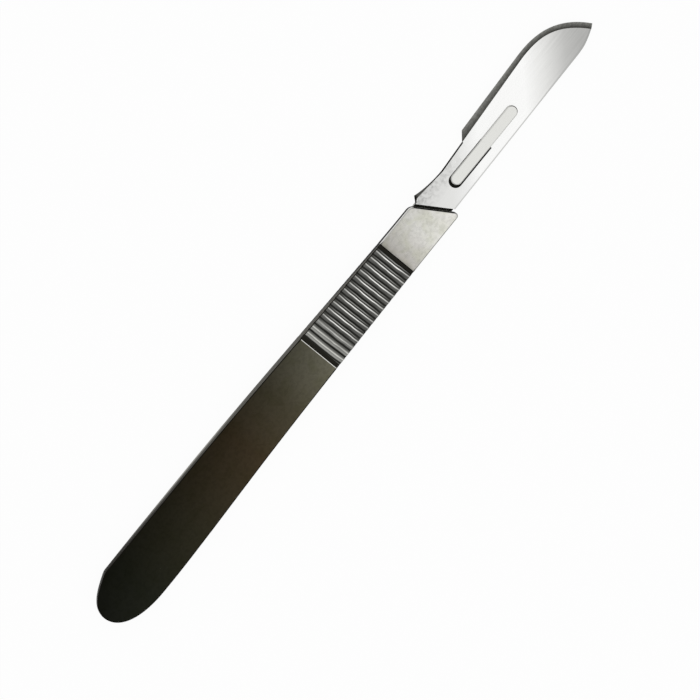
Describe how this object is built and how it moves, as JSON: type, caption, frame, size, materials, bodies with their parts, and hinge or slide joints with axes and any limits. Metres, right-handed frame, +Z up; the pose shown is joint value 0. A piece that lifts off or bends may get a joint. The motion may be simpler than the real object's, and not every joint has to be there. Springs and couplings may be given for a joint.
{
  "type": "scalpel handle with blade",
  "caption": "Flat steel surgical scalpel handle with a ribbed grip, a round tail and a stud fitting that holds a curved blade.",
  "frame": {"origin": "centre of the flat stretch of the underside that the handle lies on, on the handle's centre line", "axes": "+X along the handle to the blade's tip, +Y towards the side of the cutting edge, +Z up out of the face that carries the blade"},
  "size_m": [0.1587, 0.0136, 0.0032],
  "materials": {
    "handle_steel": "satin polished, milled ribs",
    "blade_steel": "bright rolled strip, ground edge"
  },
  "bodies": {
    "root": {"handle": "handle_steel", "blade": "blade_steel"}
  },
  "joints": []
}
